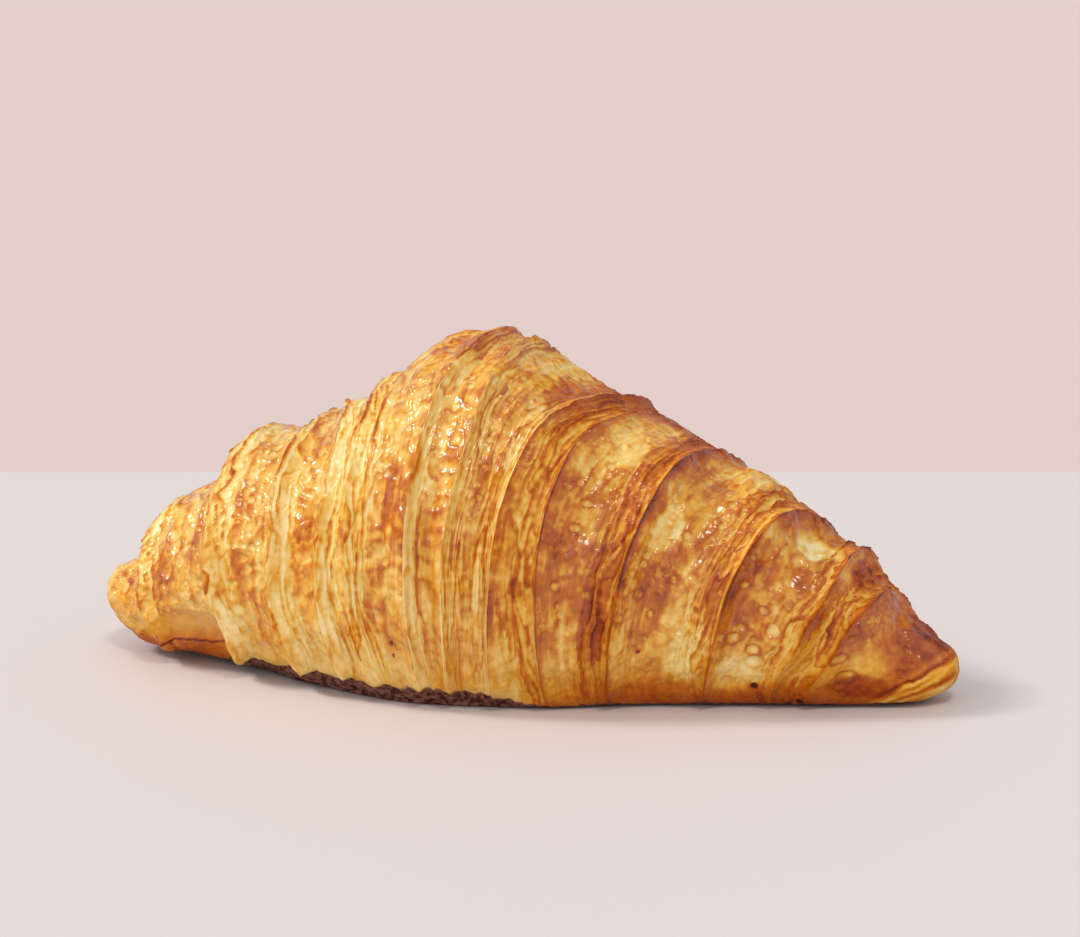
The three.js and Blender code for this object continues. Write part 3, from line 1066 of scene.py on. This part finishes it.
class CROISSANT_OT_bake_crust(bpy.types.Operator):
    """Build the croissant's crust"""

    bl_idname = "croissant.bake_crust"
    bl_label = "Bake Crust"

    def execute(self, context):
        surface = Surface(context.scene.croissant_shape)
        rings = surface.raise_crust()
        tips = surface.body(np.array([LEFT_TIP, RIGHT_TIP]), np.array([0.0, 0.0]))
        mesh = grid_mesh("crust", tips, rings)
        store(mesh, "bake", surface.bake())
        store(mesh, "foot", surface.foot())
        store(mesh, "gloss", surface.gloss())
        piece = show(mesh, "crust", crust_material(context.scene.croissant_colours))
        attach(piece, "root")
        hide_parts("croissant")
        return {"FINISHED"}


def from_angles(azimuth, elevation):
    """The way towards something at an azimuth from straight in front, and at an elevation."""
    level = math.cos(elevation)
    return Vector((math.sin(azimuth) * level, -math.cos(azimuth) * level, math.sin(elevation)))


class CROISSANT_OT_set_stage(bpy.types.Operator):
    """Build the table, the backdrop, the lights and the camera"""

    bl_idname = "croissant.set_stage"
    bl_label = "Set Stage"

    def execute(self, context):
        stage = context.scene.croissant_stage
        self.add_camera(stage)
        self.add_table(stage)
        self.add_lights(context.scene)
        return {"FINISHED"}

    def add_camera(self, stage):
        toward = from_angles(stage.azimuth, stage.elevation)
        right = Vector((math.cos(stage.azimuth), math.sin(stage.azimuth), 0))
        middle = Vector((0, 0, (CAD_LOW.z + CAD_HIGH.z) / 2 + AIM_UP))
        data = bpy.data.cameras.new("camera")
        data.lens = data.sensor_width * stage.distance / stage.view_width
        camera = bpy.data.objects.new("camera", data)
        camera.location = right * AIM_RIGHT + middle + toward * stage.distance
        camera.rotation_mode = "QUATERNION"
        camera.rotation_quaternion = (-toward).to_track_quat("-Z", "Y")
        bpy.context.scene.collection.objects.link(camera)
        bpy.context.scene.camera = camera

    def add_table(self, stage):
        away = Vector((-math.sin(stage.azimuth), math.cos(stage.azimuth), 0))
        side = Vector((away.y, -away.x, 0))
        near = away * (stage.table_depth - TABLE_REACH)
        far = away * stage.table_depth
        finish = plain_material("table", stage.table, 0.6)
        table = self.add_sheet("table_top", near, far, side * TABLE_REACH, finish)
        low = Vector((0, 0, -WALL_DROP))
        near, far = low + near * WALL_STRETCH, low + away * WALL_REACH
        finish = plain_material("backdrop", stage.backdrop, 0.9)
        wall = self.add_sheet("backdrop", near, far, side * WALL_REACH, finish)

    @staticmethod
    def add_sheet(name, near, far, side, material):
        """A flat sheet from `near` to `far`, which reaches `side` to the right and to the left."""
        mesh = bpy.data.meshes.new(name)
        corners = [near - side, near + side, far + side, far - side]
        mesh.from_pydata(corners, [], [(0, 1, 2, 3)])
        mesh.materials.append(material)
        sheet = bpy.data.objects.new(name, mesh)
        bpy.context.scene.collection.objects.link(sheet)
        return sheet

    def add_lights(self, scene):
        for name, values in SUNS.items():
            self.add_sun(name, **values)
        world = bpy.data.worlds.new("studio")
        world.use_nodes = True
        sky = world.node_tree.nodes["Background"]
        sky.inputs["Color"].default_value = (*SKY_COLOUR, 1)
        sky.inputs["Strength"].default_value = SKY_STRENGTH
        scene.world = world
        scene.view_settings.view_transform = "Standard"

    @staticmethod
    def add_sun(name, direction, strength, spread, colour):
        """A broad, even light from an azimuth and an elevation, in degrees."""
        light = bpy.data.lights.new(name, "SUN")
        light.energy = strength
        light.angle = math.radians(spread)
        light.color = colour
        lamp = bpy.data.objects.new(name, light)
        lamp.rotation_mode = "QUATERNION"
        source = from_angles(*(math.radians(angle) for angle in direction))
        lamp.rotation_quaternion = source.to_track_quat("Z", "Y")
        bpy.context.scene.collection.objects.link(lamp)


class CROISSANT_PT_panel(bpy.types.Panel):
    """Buttons and sizes for the croissant"""

    bl_label = "Croissant"
    bl_idname = "CROISSANT_PT_panel"
    bl_space_type = "VIEW_3D"
    bl_region_type = "UI"
    bl_category = "Croissant"

    def draw(self, context):
        scene = context.scene
        for operator in OPERATORS:
            self.layout.operator(operator.bl_idname)
        for group in (scene.croissant_shape, scene.croissant_colours, scene.croissant_stage):
            box = self.layout.box()
            for name in group.bl_rna.properties.keys():
                if name not in ("rna_type", "name"):
                    box.prop(group, name)


GROUPS = {
    "croissant_shape": CroissantShape,
    "croissant_colours": CroissantColours,
    "croissant_stage": CroissantStage,
}
OPERATORS = (CROISSANT_OT_set_stage, CROISSANT_OT_bake_crust)
CLASSES = (*GROUPS.values(), *OPERATORS, CROISSANT_PT_panel)


def register():
    for cls in CLASSES:
        bpy.utils.register_class(cls)
    for name, group in GROUPS.items():
        setattr(bpy.types.Scene, name, PointerProperty(type=group))


def unregister():
    for name in GROUPS:
        delattr(bpy.types.Scene, name)
    for cls in reversed(CLASSES):
        bpy.utils.unregister_class(cls)


def main():
    register()
    bpy.ops.croissant.set_stage()
    bpy.ops.croissant.bake_crust()


if __name__ == "__main__":
    main()
